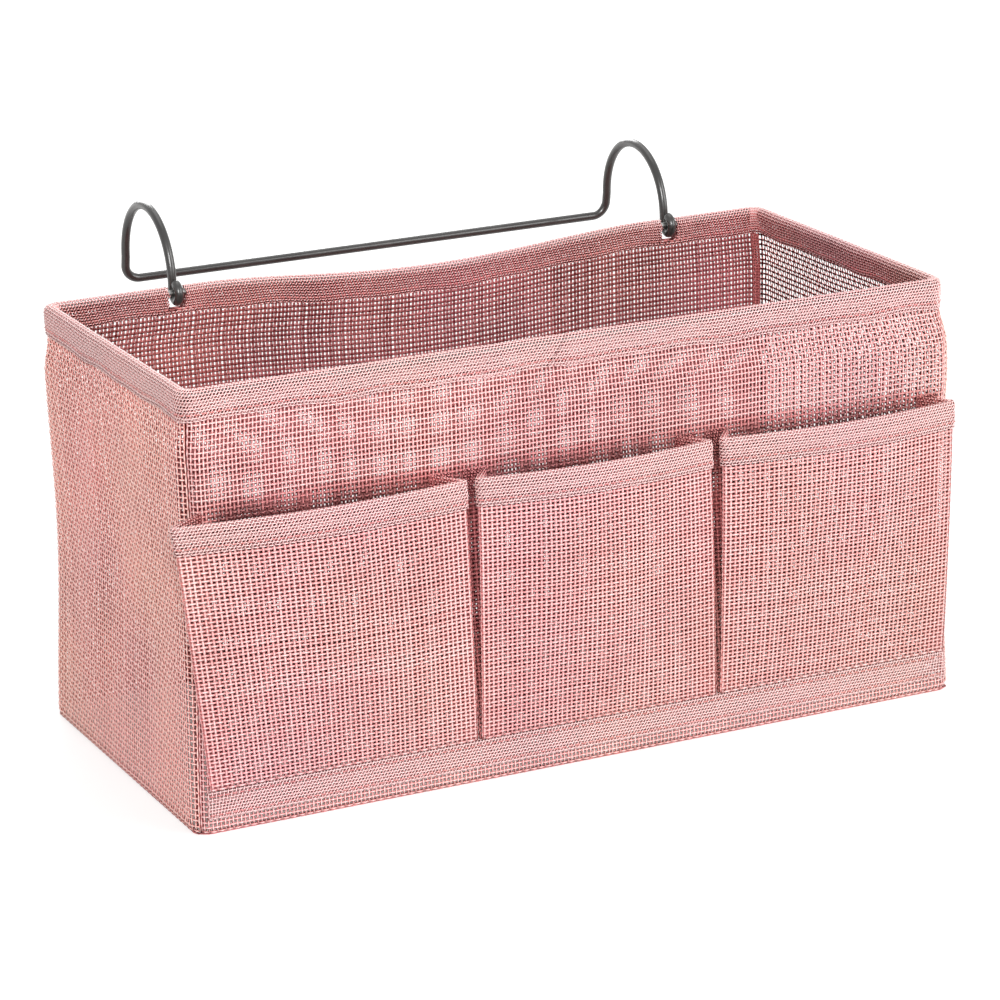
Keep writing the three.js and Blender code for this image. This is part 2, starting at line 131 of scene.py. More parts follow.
class Finish:
    """The node tree of one material or of the world."""

    def __init__(self, owner):
        self.owner = owner
        owner.use_nodes = True
        self.tree = owner.node_tree

    def node(self, kind, settings=None, inputs=None, output=0):
        """Adds a node: its settings first, then a value or a wire for each named socket."""
        made = self.tree.nodes.new("ShaderNode" + kind)
        for name, value in (settings or {}).items():
            setattr(made, name, value)
        for name, value in (inputs or {}).items():
            self.feed(made.inputs[name], value)
        return Wire(self, made.outputs[output])

    def feed(self, socket, value):
        """Links a wire to a socket, or sets the socket to a plain value."""
        if isinstance(value, Wire):
            self.tree.links.new(value.socket, socket)
        else:
            socket.default_value = value

    def noise(self, place, scale, detail):
        """Soft random patches, about as many to a metre as the scale says."""
        return self.node("TexNoise", inputs={"Vector": place, "Scale": scale, "Detail": detail})

    def ramp(self, value, *stops):
        """A colour read at a value between stops, each a position from 0 to 1 and a colour."""
        wire = self.node("ValToRGB", inputs={"Fac": value}, output="Color")
        elements = wire.socket.node.color_ramp.elements
        elements[0].position, elements[0].color = stops[0]
        elements[1].position, elements[1].color = stops[-1]
        for position, colour in stops[1:-1]:
            elements.new(position).color = colour
        return wire

    def bump(self, strength, distance, height):
        """Normals bent by a height."""
        inputs = {"Strength": strength, "Distance": distance, "Height": height}
        return self.node("Bump", inputs=inputs, output="Normal")

    def surface(self, shader="Principled BSDF", **inputs):
        """Feeds the tree's own shader, and returns the owner. An underscore stands for a space."""
        for name, value in inputs.items():
            self.feed(self.tree.nodes[shader].inputs[name.replace("_", " ")], value)
        return self.owner


def new_finish(name):
    """The tree of a new material, and the wire that says where on its object a point lies."""
    finish = Finish(bpy.data.materials.new(name))
    return finish, finish.node("TexCoord", output="Object")


def paint(red, green, blue):
    """A colour as read off a screen, 0 to 255, turned into the light that it gives back."""
    shares = np.array([red, green, blue]) / 255
    light = np.where(shares <= 0.04045, shares / 12.92, ((shares + 0.055) / 1.055) ** 2.4)
    return (*light.tolist(), 1.0)


print("pink as light:", np.round(paint(232, 150, 146), 3).tolist())

# %% [markdown]
# ## Coated thread
# The thread is polyester in a soft plastic coat. Its dye is uneven from thread to thread and drifts from rose
# to peach over a hand's width. Light and shade are painted on as well: a painted highlight on the crowns and
# painted shade on the sides and undersides. Each net carries two numbers for a point: strand, one for each
# thread, and rise, from about -1 under the cloth to about 1 on its crowns, which sets that painted light and
# shade. The front wall, most of which lies behind the pockets, has the darkest painted shade.

# %% The thread finishes
SLOW, DRIFT, GRAIN = (22.0, 3.0), (9.0, 2.0), (1100.0, 2.0)  # the scale and the detail of three noises
MEAN_TONE = 0.46
BY_STRAND, BY_SLOW, BY_GRAIN = 0.07, 0.42, 0.3  # what strand, slow noise and grain add to the tone
RICHNESS, FADING = 1.03, 0.4  # the mean saturation, and what slow noise adds to it
TURNING = 0.05  # what drift adds to the hue


def thread_finish(name, deep, middle, pale, roughness, painted_shading):
    """A ramp from deep to pale, read at the sum of rise times the painted shading, strand, slow noise and
    grain, and then turned in hue. The rise term paints a highlight on crowns and shade on sides and
    undersides."""
    finish, place = new_finish(name)
    slow, drift, grain = [finish.noise(place, *size) for size in (SLOW, DRIFT, GRAIN)]
    labels = ("strand", "rise")
    strand, rise = [finish.node("Attribute", {"attribute_name": label}, output="Fac") for label in labels]
    # the rise term is painted light and shade; strand, slow noise and grain are the thread's own uneven tone
    tone = MEAN_TONE + painted_shading * rise + BY_STRAND * strand + BY_SLOW * (slow - 0.5) + BY_GRAIN * (grain - 0.5)
    colour = finish.ramp(tone, (0.0, paint(*deep)), (0.5, paint(*middle)), (1.0, paint(*pale)))
    saturation = RICHNESS + FADING * (slow - 0.5)
    hues = {"Hue": 0.5 + TURNING * (drift - 0.5), "Saturation": saturation, "Color": colour}
    return finish.surface(
        Base_Color=finish.node("HueSaturation", inputs=hues, output="Color"),
        Roughness=roughness + 0.25 * (grain - 0.5),
        Normal=finish.bump(0.3, 0.12 * MM, grain),
        Specular_IOR_Level=0.2,
    )


# The deep, the middle and the pale colour, the roughness and the painted shading. Through the rise, the deep
# end is painted shade and the pale end a painted highlight; the middle is the thread's own colour.
DYES_AND_PAINTED_LIGHT = {
    "mesh_thread": ((108, 34, 34), (234, 157, 155), (255, 229, 227), 0.45, 0.5),
    # the front's deep end is darkest: the colour of the painted shade behind the pockets
    "front_thread": ((62, 17, 17), (234, 158, 155), (255, 234, 231), 0.45, 0.52),
    # the sides are a warmer copy with deeper darks and stronger shading: painted light and shade for how light
    # falls on them
    "side_thread": ((58, 14, 12), (252, 160, 152), (255, 220, 212), 0.45, 1.0),
    "hem_thread": ((62, 14, 14), (232, 144, 141), (255, 226, 224), 0.45, 1.4),
    "sewing_thread": ((176, 92, 90), (216, 136, 132), (240, 184, 180), 0.5, 0.4),
    # the tape is painted dark, darkest on its outer side, as painted shade in the corner grooves
    "tape_thread": ((84, 32, 30), (150, 76, 73), (222, 148, 144), 0.5, -0.5),
}
finishes = [thread_finish(name, *dye) for name, dye in DYES_AND_PAINTED_LIGHT.items()]
MESH_PINK, FRONT_PINK_AND_PAINTED_SHADE, SIDE_PINK_AND_PAINTED_LIGHT, HEM_PINK, SEAM_PINK, TAPE_PINK_AND_PAINTED_SHADE = finishes
print("thread finishes:", list(DYES_AND_PAINTED_LIGHT))

# %% [markdown]
# ## Tubes along many lines
# Every thread, stitch and wire here is a tube: a small closed outline carried along a line. One function
# makes thousands of them at once from arrays, which takes a moment where a loop would take minutes.

# %% Tubes and meshes
def unit(vectors):
    """Each vector divided by its own length."""
    return vectors / np.linalg.norm(vectors, axis=-1, keepdims=True)


def points_of(x, y, z):
    """Three arrays of coordinates, spread to one shape, as points."""
    return np.stack(np.broadcast_arrays(x, y, z), axis=-1)


def normals_of(grid):
    """Which way a sheet faces at each point: the cross product of its grid's two directions."""
    return unit(np.cross(np.gradient(grid, axis=0), np.gradient(grid, axis=1)))


def lengths_of(line):
    """How far along a line each of its points lies."""
    return np.concatenate([[0], np.cumsum(np.linalg.norm(np.diff(line, axis=0), axis=-1))])


def smooth_step(share):
    """From 0 to 1 with a level start and a level end: 3 s^2 - 2 s^3."""
    return share**2 * (3 - 2 * share)


def outline(corners, width, thickness):
    """A flattened polygon with a corner on top: cosines stretched to the width, sines to the thickness."""
    angle = np.pi / 2 + np.arange(corners) * 2 * np.pi / corners
    round_points = np.column_stack([np.cos(angle), np.sin(angle)])
    return round_points * [width, thickness] / np.ptp(round_points, axis=0)


def tubes(lines, normals, section, kept=None):
    """A corner's point is the line's point, plus the corner's first number times the sideways direction,
    plus its second number times the outward one. Sideways is the cloth's normal crossed with the run of
    the line. Quads join each station to the next where kept says so, and a flat cap closes each end."""
    run = unit(np.gradient(lines, axis=1))
    side = unit(np.cross(normals, run))
    out = np.cross(run, side)
    points = lines[:, :, None] + section[:, :1] * side[:, :, None] + section[:, 1:] * out[:, :, None]
    threads, stations, corners = points.shape[:3]
    index = np.arange(threads * stations * corners).reshape(threads, stations, corners)
    turned = np.roll(index, -1, axis=2)
    if kept is None:
        kept = np.ones((threads, stations - 1), bool)
    quads = np.stack([index[:, :-1], turned[:, :-1], turned[:, 1:], index[:, 1:]], axis=-1)[kept]
    joined = np.pad(kept, ((0, 0), (1, 1)))
    starts = index[joined[:, 1:] & ~joined[:, :-1]][:, ::-1]
    stops = index[joined[:, :-1] & ~joined[:, 1:]]
    return points.reshape(-1, 3), [quads.reshape(-1, 4), np.concatenate([starts, stops])]


def add_piece(name, points, faces, finish, body="bag", nodes=()):
    """A smooth mesh from arrays of points and of faces with equal numbers of corners, riding on a body."""
    mesh = bpy.data.meshes.new(name)
    loops = np.concatenate([group.ravel() for group in faces]).astype(np.int32)
    corners = np.concatenate([np.full(len(group), group.shape[1]) for group in faces])
    mesh.vertices.add(len(points))
    mesh.vertices.foreach_set("co", points.astype(np.float32).ravel())
    mesh.loops.add(len(loops))
    mesh.loops.foreach_set("vertex_index", loops)
    mesh.polygons.add(len(corners))
    mesh.polygons.foreach_set("loop_start", (np.cumsum(corners) - corners).astype(np.int32))
    mesh.polygons.foreach_set("use_smooth", np.ones(len(corners), bool))
    mesh.update(calc_edges=True)
    mesh.materials.append(finish)
    piece = add_object(name, mesh)
    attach(piece, body)
    if nodes:
        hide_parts(*nodes)
    return piece


def add_map(piece, places, strands, rises):
    """Lays each point at its own place on a unit square, for baked colours, and keeps its two numbers."""
    mesh = piece.data
    loops = np.empty(len(mesh.loops), np.int32)
    mesh.loops.foreach_get("vertex_index", loops)
    bake_map = mesh.uv_layers.new(name="OFBake")
    bake_map.data.foreach_set("uv", places[loops].astype(np.float32).ravel())
    for name, values in (("strand", strands), ("rise", rises)):
        mesh.attributes.new(name, "FLOAT", "POINT").data.foreach_set("value", values.astype(np.float32))


print("corners of a thread:", np.round(outline(4, 1.0, 0.5), 3).tolist())

# %% [markdown]
# ## The weave
# Mesh cloth is a plain weave: each thread goes over one and under the next. Holes painted by a material
# would look flat from the side and vanish in the exported model, so the threads are real. A sheet is a grid
# of points in space: its columns are the upright threads and its rows the level ones, and at each crossing
# the two lie on opposite sides of the sheet. No thread lies quite evenly, so each is set off a little at
# random. Where light seldom reaches, a painted shade lowers the rise of the net's outer side.

# %% Nets of woven thread
NEAT, LOOSE = 0.035, 0.06  # how far threads stray, as shares of the way from one to the next
MAP_FILL = 0.9  # the share of its own strip of the bake map that a thread takes up
dice = np.random.default_rng(26)


def weave(grid, thread, kept, shade):
    """Upright thread i passes crossing (i, j) at P + (-1)^(i + j) * crimp * normal, and level thread j as far
    on the other side of P. A thread is its width, thickness, crimp and number of corners. Returns points,
    faces, and for each point its place on a unit square, a random number for its thread, and its rise, less
    the shade on the outer side."""
    width, thickness, crimp, corners = thread
    columns, rows = grid.shape[:2]
    normal = normals_of(grid)
    over = (-1.0) ** (np.arange(columns)[:, None] + np.arange(rows))[..., None]
    section = outline(corners, width, thickness)
    lift = crimp * over * normal
    upright, upright_faces = tubes(grid + lift, normal, section, kept[1])
    across, across_faces = tubes((grid - lift).swapaxes(0, 1), normal.swapaxes(0, 1), section, kept[0])
    faces = [np.concatenate([one, two + len(upright)]) for one, two in zip(upright_faces, across_faces)]
    spread = section[:, 0] / width * MAP_FILL
    column, row, shift = np.meshgrid(np.arange(columns), np.arange(rows), spread, indexing="ij")
    upright_places = np.stack([(column + 0.5 + shift) / columns, (row + 0.5) / rows], axis=-1)
    across_places = np.stack([(column + 0.5) / columns, (row + 0.5 + shift) / rows], axis=-1).swapaxes(0, 1)
    places = np.concatenate([upright_places.reshape(-1, 2), across_places.reshape(-1, 2)])
    ways = ((columns, rows), (rows, columns))
    strands = np.concatenate([np.repeat(dice.uniform(-1, 1, one), two * corners) for one, two in ways])
    height = section[:, 1] / thickness
    outer = height - height.min()
    shade = np.broadcast_to(shade, (columns, rows))[..., None] * outer
    level_rises = (height - over / 2 - shade).swapaxes(0, 1)
    rises = np.concatenate([(over / 2 + height - shade).ravel(), level_rises.ravel()])
    return np.concatenate([upright, across]), faces, places, strands, rises


def rounded(*lengths):
    """Lengths, each to the nearest millimetre."""
    return tuple(round(float(length), 3) for length in lengths)


def add_cloth(name, grid, finish, nodes, thread, kept=(None, None), shade=0.0):
    """A net woven over a grid, added as a piece."""
    points, faces, *numbers = weave(grid, thread, kept, shade)
    piece = add_piece(name, points, faces, finish, nodes=nodes)
    add_map(piece, *numbers)
    print(name, "threads:", grid.shape[0], "by", grid.shape[1])
    return piece


def steps(length, spacing):
    """How many threads cover a length at about the given spacing, counting both ends."""
    return int(round(length / spacing)) + 1


def uneven(start, stop, spacing, stray):
    """Places of threads from start to stop, each set off at random by a small share of the spacing."""
    places = np.linspace(start, stop, steps(abs(stop - start), spacing))
    places[1:-1] += dice.normal(0, stray, len(places) - 2) * (places[1] - places[0])
    return places


# %% [markdown]
# ## The walls
# Four panels hang from the rim and are sewn to each other down the corners. They tuck in behind the hem,
# draw in at half height and spread past the rim towards the floor, where they turn under. Each is worked out
# as one panel that faces -Y, from the middle of one corner to the middle of the next, and then turned by
# quarters. The two sides hang slacker, so their threads lie further apart and wave more.

# %% Wall panels
CLOTH = 0.8 * MM  # one layer of mesh
LAYER = 1.1 * MM  # a layer and the air beside it
HEM_HEIGHT = 13 * MM
HEM_THICKNESS = 6.3 * MM
RIM_CORNER = 8 * MM
BASE_CORNER = 5 * MM
BASE_EDGE = 3 * MM
BASE_SPREAD = 3 * MM  # how far the walls stand out past the rim at the floor
HEM_SPREAD = 0.8 * MM  # and just under the hem
TUCK = 17 * MM  # the height over which they tuck in behind it
DRAW_IN = 2.2 * MM
BACK_SAG = 6 * MM
CORNER_SLACK = 3.4 * MM  # how far the front right corner stands out under the hem
SLACK_FOOT = 60 * MM
SLACK_OVER = 2 * MM  # it ends this far above the hem's lower edge
SLACK_SPREAD = (0.4, 1.2)  # how far it goes into the front and the right wall, in half widths
SWELL = 0.7 * MM  # the height of slow waves in hanging cloth
LONG_MESH = (1.8 * MM, 2.25 * MM)  # from thread to thread, along the front and up it
SHORT_MESH = (2.1 * MM, 2.42 * MM)  # and on the two sides
FRONT_THREAD = (0.98 * MM, 0.46 * MM, 0.15 * MM, 3)  # width, thickness, crimp and corners
BACK_THREAD = (1.28 * MM, 0.48 * MM, 0.15 * MM, 3)
SIDE_THREAD = (0.96 * MM, 0.36 * MM, 0.3 * MM, 3)
SEAM_GAP = 0.8 * MM  # from a panel's edge to the middle of the corner
SEAM_PULL = 1.9 * MM  # how far a corner seam draws the cloth in
SEAM_REACH = 3.0 * MM
SEAM_FADE = 20 * MM  # the height under the hem over which it lets go
INTO_HEM = 9.2 * MM  # how far the walls reach up inside the hem

HALF_WIDTH, HALF_DEPTH, RIM_TOP = np.array(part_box("rim_hem")[1])
HINGE_X, RING_Y, RING_Z = frame["record"]["behaviour"]["joints"][0]["pos_m"]
HOOK_HALF = 123 * MM  # from the middle of the hanger to a hook
SAG_HALF = 111 * MM
HEM_BOTTOM = RIM_TOP - HEM_HEIGHT
WALL_FOOT = LAYER
WALL_TOP = HEM_BOTTOM + INTO_HEM


def wall_inset(z):
    """How far a wall lies inside the rim: a sine-squared pull between floor and hem and a smooth step behind
    the hem, plus the quarter round by which it turns under at the floor, less its even spread."""
    share = np.minimum(z / HEM_BOTTOM, 1)
    spread = BASE_SPREAD + (HEM_SPREAD - BASE_SPREAD) * share
    pull = DRAW_IN * np.sin(np.pi * share) ** 2
    into = np.clip((z - HEM_BOTTOM) / TUCK + 1, 0, 1)
    tuck = (HEM_SPREAD + LAYER) * smooth_step(into)
    turn = BASE_EDGE - np.sqrt(BASE_EDGE**2 - np.maximum(BASE_EDGE - z, 0) ** 2)
    return pull + tuck + turn - spread


def wall_radius(z):
    """The corner's radius, growing evenly from the floor to the hem."""
    share = np.minimum(z / HEM_BOTTOM, 1)
    return BASE_CORNER + (RIM_CORNER - LAYER - BASE_CORNER) * share


def back_sag(x):
    """How far the back rim hangs between the hooks: the square of one minus the squared share of the way."""
    share = np.minimum(np.abs(x - HINGE_X) / SAG_HALF, 1)
    return BACK_SAG * (1 - share**2) ** 2


def slack(across, up, phase):
    """The unevenness of hanging cloth: slow slanting waves that die out at the sewn edges."""
    edges = np.sin(np.pi * across) ** 0.5 * np.sin(np.pi * up) ** 0.5
    waves = np.sin(2 * np.pi * (1.3 * across + 0.6 * up) + phase)
    waves = waves + 0.6 * np.sin(2 * np.pi * (3.1 * across - 0.9 * up) + 2.3 * phase)
    return SWELL * edges * waves


def corner_slack(z):
    """How far the front right corner stands out under the hem: a sine of the squared share of the way up."""
    share = np.clip((z - SLACK_FOOT) / (HEM_BOTTOM + SLACK_OVER - SLACK_FOOT), 0, 1)
    return CORNER_SLACK * np.sin(np.pi * share**2)


def wall_grid(half_along, half_out, mesh, quarter, phase):
    """Along the panel, a straight run of points ends in an eighth of a circle on either side. Rows climb from
    the floor to inside the hem. The seam pull is a bell curve of the distance to the corner. A smooth step
    carries the front right corner's slack into its two walls, and the right and back threads stray most."""
    stray = NEAT if quarter in (0, 3) else LOOSE
    z = uneven(WALL_FOOT, WALL_TOP, mesh[1], stray)[None]
    share = uneven(-1, 1, mesh[0] / half_along, stray)[:, None]
    inset = wall_inset(z) + CLOTH / 2
    radius = wall_radius(z)
    straight = half_along - inset - radius
    travel = share * (straight + radius * np.pi / 4 - SEAM_GAP)
    angle = np.maximum(np.abs(travel) - straight, 0) / radius
    to_seam = (1 - np.abs(share)) * half_along
    pull = SEAM_PULL * np.exp(-((to_seam / SEAM_REACH) ** 2)) * np.clip((HEM_BOTTOM - z) / SEAM_FADE, 0, 1)
    push = slack((share + 1) / 2, z / WALL_TOP, phase) - pull
    along = np.sign(travel) * (np.minimum(np.abs(travel), straight) + (radius + push) * np.sin(angle))
    out = half_out - inset - radius + (radius + push) * np.cos(angle)
    x, y = [(along, -out), (out, along), (-along, out), (-out, -along)][quarter]
    if quarter < 2:
        from_corner = [1 - share, 1 + share][quarter]
        near = np.clip(1 - from_corner / SLACK_SPREAD[quarter], 0, 1)
        x = x + corner_slack(z) * smooth_step(near)
    sag = back_sag(x) * z / WALL_TOP if quarter == 2 else 0
    return points_of(x, y, z - sag)


WALLS = {
    "front": (wall_grid(HALF_WIDTH, HALF_DEPTH, LONG_MESH, 0, 0.4), FRONT_PINK_AND_PAINTED_SHADE, FRONT_THREAD),
    "right": (wall_grid(HALF_DEPTH, HALF_WIDTH, SHORT_MESH, 1, 1.9), SIDE_PINK_AND_PAINTED_LIGHT, SIDE_THREAD),
    "back": (wall_grid(HALF_WIDTH, HALF_DEPTH, LONG_MESH, 2, 3.1), MESH_PINK, BACK_THREAD),
    "left": (wall_grid(HALF_DEPTH, HALF_WIDTH, SHORT_MESH, 3, 4.6), SIDE_PINK_AND_PAINTED_LIGHT, SIDE_THREAD),
}
print("wall grids:", {name: wall[0].shape[:2] for name, wall in WALLS.items()})

# %% [markdown]
# ## Slits for the hanger's eyes
# The hanger ends in two eyes that hold the ring inside the hem, so the hem has a slit for each. A tailor
# would part the threads and sew round the edge. Here the columns near a slit are pushed aside by an amount
# that shrinks to nothing a little way off, and the level threads are cut where they would cross it.

# %% Parting the threads
SLIT_HALF = 3.4 * MM
SLIT_CROWD = 13 * MM  # the threads within this distance crowd together
SLIT_REACH = 7.1 * MM  # from the ring's middle
SLIT_FADE = 1.6 * MM
EYES = (HINGE_X - HOOK_HALF, HINGE_X + HOOK_HALF)


def parted(grid):
    """Moves points near an eye sideways by the slit's half width times one minus the share of the crowded
    distance, and fades that out below the slit. Returns the grid, and which stretches of level and upright
    thread are kept."""
    grid = grid.copy()
    from_ring = np.hypot(grid[..., 1] - RING_Y, grid[..., 2] - RING_Z)
    near = np.clip((SLIT_REACH + SLIT_FADE - from_ring) / SLIT_FADE, 0, 1)
    inside = from_ring < SLIT_REACH
    level = np.ones((len(grid) - 1, grid.shape[1]), bool)
    upright = np.ones((len(grid), grid.shape[1] - 1), bool)
    for eye in EYES:
        offset = grid[..., 0] - eye
        level &= ~((offset[:-1] * offset[1:] <= 0) & (inside[:-1] | inside[1:]))
        upright &= ~((offset[:, :-1] * offset[:, 1:] <= 0) & (inside[:, :-1] | inside[:, 1:]))
        share = np.clip(1 - np.abs(offset) / SLIT_CROWD, 0, 1)
        grid[..., 0] += np.where(offset < 0, -1, 1) * SLIT_HALF * share * near
    return grid, (level.T, upright)


# Painted shade on the front wall behind the pockets: where it lies, and how deep it is
COVER_FOOT, COVER_TOP = 21 * MM, 143 * MM  # the part of the front wall that the pockets cover
COVER_HALF, COVER_FADE = 177 * MM, 12 * MM
COVER_SHADE = 2.4


def covered_shade(grid):
    """Painted shade on the front wall behind the pockets: full below their hems, fading out just above them.
    """
    below = np.clip((COVER_TOP - grid[..., 2]) / COVER_FADE, 0, 1) * (grid[..., 2] > COVER_FOOT)
    between = np.clip((COVER_HALF - np.abs(grid[..., 0])) / COVER_FADE, 0, 1)
    return COVER_SHADE * below * between


for name, (wall, finish, thread) in WALLS.items():
    grid, kept = parted(wall)
    node = name + "_panel"
    shade = covered_shade(grid) if name == "front" else 0.0
    add_cloth(node + "_cloth", grid, finish, (node,), thread, kept, shade)

# %% [markdown]
# ## The floor of the bag
# One panel lies under the loose board. Its outline is a rectangle with small round corners, so each row is
# as long as the outline allows at its distance from the front.

# %% Bottom panel
FLOOR_MESH = 2.3 * MM

# Rows run from back to front. A row's half length is the panel's, less what the round corner takes: the
# radius minus the root of its square less the squared distance into the corner.
inset = wall_inset(np.array(WALL_FOOT)) + CLOTH
half_width = HALF_WIDTH - inset
half_depth = HALF_DEPTH - inset
y = np.linspace(half_depth, -half_depth, steps(2 * half_depth, FLOOR_MESH))[None]
into = np.clip(np.abs(y) - half_depth + BASE_CORNER, 0, BASE_CORNER)
half_row = half_width - BASE_CORNER + np.sqrt(BASE_CORNER**2 - into**2)
x = np.linspace(-1, 1, steps(2 * half_width, FLOOR_MESH))[:, None] * half_row
grid = points_of(x, y, CLOTH / 2)
cloth = add_cloth("bottom_panel_cloth", grid, MESH_PINK, ("bottom_panel",), BACK_THREAD)

# %% [markdown]
# ## The rim hem
# The hem is a strip of closer cloth, folded over the ring and sewn through the walls. Its profile is worked
# out by its length: up the outside, over the ring, and down the inside. The strip is cut on the slant, so its
# threads climb sideways, and it is made in two halves because it is long.

# %% Rim hem
HEM_ACROSS = 1.5 * MM
HEM_UP = 1.4 * MM
HEM_THREAD = (0.64 * MM, 0.4 * MM, 0.2 * MM, 3)
HEM_SLANT = 0.7  # how far a thread goes along the hem for each metre of climb
SLANT_FADE = 20 * MM  # from a cut end
HEM_WAVE = 0.35 * MM
HEM_WAVES = ((17, 0.0), (29, 1.0))  # how many go round the rim, and their phase
HEM_BEND = 4 * MM  # about what the bend adds to the two legs
OUTER_LEG, INNER_LEG, LEG_CURVE = 0.06, 0.62, 1.3  # how far the legs lean, and how late they do
HEM_SHADE = 0.65  # painted shade on the side that faces into the bag
HEM_SKIN = 0.45 * MM  # from the hem's face to the middle of its threads
CORNER_POINTS = 13


def rim_outline(places):
    """The rim from above, counter-clockwise from the middle of the back. Four quarter circles are joined by
    straight runs, and the places are shares of the whole way round. Returns x, y and the way out."""
    quarter = np.linspace(0, np.pi / 2, CORNER_POINTS)
    angle = np.concatenate([quarter + turn * np.pi / 2 for turn in (1, 2, 3, 4)])
    left_right = np.repeat([-1, -1, 1, 1], CORNER_POINTS)
    back_front = np.repeat([1, -1, -1, 1], CORNER_POINTS)
    x = left_right * (HALF_WIDTH - RIM_CORNER) + RIM_CORNER * np.cos(angle)
    y = back_front * (HALF_DEPTH - RIM_CORNER) + RIM_CORNER * np.sin(angle)
    middle = np.array([HINGE_X, HALF_DEPTH, np.pi / 2])
    around = np.vstack([middle, points_of(x, y, angle), middle + [0, 0, 2 * np.pi]])
    travel = lengths_of(around[:, :2])
    return [np.interp(places % 1 * travel[-1], travel, values) for values in around.T]


def along_rim(inset, height, places):
    """A profile of insets and heights carried round the rim, lowered along the sagging back."""
    x, y, angle = rim_outline(places)
    sag = np.where(y > 0, back_sag(x), 0)
    return points_of(x - inset * np.cos(angle), y - inset * np.sin(angle), RIM_TOP + height - sag)


def hem_profile(allowance, thickness, height):
    """A fold: a straight leg, half a circle, and a second leg that leans in to the first at its foot. Returns
    insets, heights and lengths along the fold, counted from its top."""
    bend = thickness / 2 - HEM_SKIN
    leg = height - thickness / 2
    travel = np.linspace(0, 2 * leg + np.pi * bend, steps(2 * height + allowance, HEM_UP))
    turn = np.clip((travel - leg) / bend, 0, np.pi)
    down = np.maximum(leg - travel, 0) + np.maximum(travel - leg - np.pi * bend, 0)
    inset = thickness / 2 - bend * np.cos(turn)
    lean = np.where(turn > np.pi / 2, -INNER_LEG * (inset - HEM_SKIN), OUTER_LEG * thickness)
    inset = inset + lean * (down / leg) ** LEG_CURVE
    return inset, bend * np.sin(turn) - thickness / 2 - down, travel - travel[-1] / 2


def inner_shade(climb):
    """The shade of a hem's inner leg, which is full from a third of the way down."""
    return HEM_SHADE * np.clip(climb / climb.max() * 3, 0, 1)


def slanted(length, spacing, climb):
    """Shares of the way along a strip. Each column leans by the slant times its climb, less near the ends."""
    share = np.linspace(0, 1, steps(length, spacing))[:, None]
    from_end = np.minimum(share, 1 - share) * length
    return share + HEM_SLANT * climb / length * np.minimum(from_end / SLANT_FADE, 1)


RIM_LENGTH = 4 * (HALF_WIDTH + HALF_DEPTH) - (8 - 2 * np.pi) * RIM_CORNER
hem_inset, hem_height, hem_climb = hem_profile(HEM_BEND, HEM_THICKNESS, HEM_HEIGHT)
places = np.linspace(0, 1, steps(RIM_LENGTH, HEM_ACROSS))[:, None] + HEM_SLANT * hem_climb / RIM_LENGTH
wave = sum(np.sin(2 * np.pi * count * places + phase) for count, phase in HEM_WAVES)
lower = np.abs(hem_climb) / hem_climb.max()
fold = along_rim(hem_inset, hem_height + HEM_WAVE * wave * lower, places)
half = len(fold) // 2
halves = {"rim_hem_cloth": (fold[: half + 1], ["rim_hem"]), "rim_hem_second_half": (fold[half:], [])}
for name, (part, nodes) in halves.items():
    grid, kept = parted(part)
    cloth = add_cloth(name, grid, HEM_PINK, nodes, HEM_THREAD, kept, inner_shade(hem_climb))

# %% [markdown]
# ## The bellows pockets
# One strip of cloth makes each pocket. It lies flat on the wall, turns back at an inner fold to make a
# gusset, and turns again at the edge of the pocket's front. At the foot the layers lie on each other, and
# towards the mouth the front stands out, most in the middle. Following the strip by its length gives one
# function of two parameters: five stretches, each sliding the point from one fold to the next.

# %% Pocket cloth
LEFT_POCKET = 124 * MM
MIDDLE_POCKET = 115 * MM
POCKET_FOOT = 20.3 * MM
POCKET_TOP = 138 * MM
ROW_HALF = 177.3 * MM
MOUTH_AT_FOLD = 15 * MM
MOUTH_MORE = 6 * MM  # how much further the middle of a mouth stands out
LEFT_LEAN = -9.5 * MM  # how far the outer folds of the row lean at the mouth
RIGHT_LEAN = 3 * MM
INNER_LEAN = 2 * MM
HALF_GAP = 0.4 * MM  # from a pocket's bound to its fold
MOUTH_SHIFT = 5.7 * MM  # how far all the mouths hang over to the left
PLEAT = 11 * MM
GUSSET = 18 * MM  # a gusset's cut width
FLAT_HALF = 173 * MM  # the front wall is flat this far to either side
FOLD_ROUND = 1.6 * MM
ROUNDING_PLACES = 5
POCKET_ACROSS = 2.2 * MM
POCKET_UP = 1.8 * MM
POCKET_THREAD = (1.06 * MM, 0.42 * MM, 0.16 * MM, 4)

# Left and right bounds, how far the two folds lean, the lengths of the flat stretches, and a phase
left_divide = LEFT_POCKET - ROW_HALF
right_divide = left_divide + MIDDLE_POCKET
POCKETS = {
    "left": (-ROW_HALF, left_divide, LEFT_LEAN, -INNER_LEAN, 0, PLEAT, 0.7),
    "middle": (left_divide, right_divide, INNER_LEAN, -INNER_LEAN, PLEAT, PLEAT, 2.2),
    "right": (right_divide, ROW_HALF, INNER_LEAN, RIGHT_LEAN, PLEAT, PLEAT, 5.1),
}


def pocket_cut(pocket):
    """The length of a pocket's strip."""
    return pocket[1] - pocket[0] + 2 * GUSSET + pocket[4] + pocket[5]


def stretches(pocket, share):
    """How far along each of its five stretches a place on the strip lies, from 0 to 1 and held there."""
    left, right, _, _, left_flat, right_flat, _ = pocket
    lengths = np.maximum([left_flat, GUSSET, right - left, GUSSET, right_flat], 1e-6)
    starts = np.cumsum(lengths) - lengths
    travel = share * lengths.sum()
    return [np.clip((travel - start) / length, 0, 1) for start, length in zip(starts, lengths)]


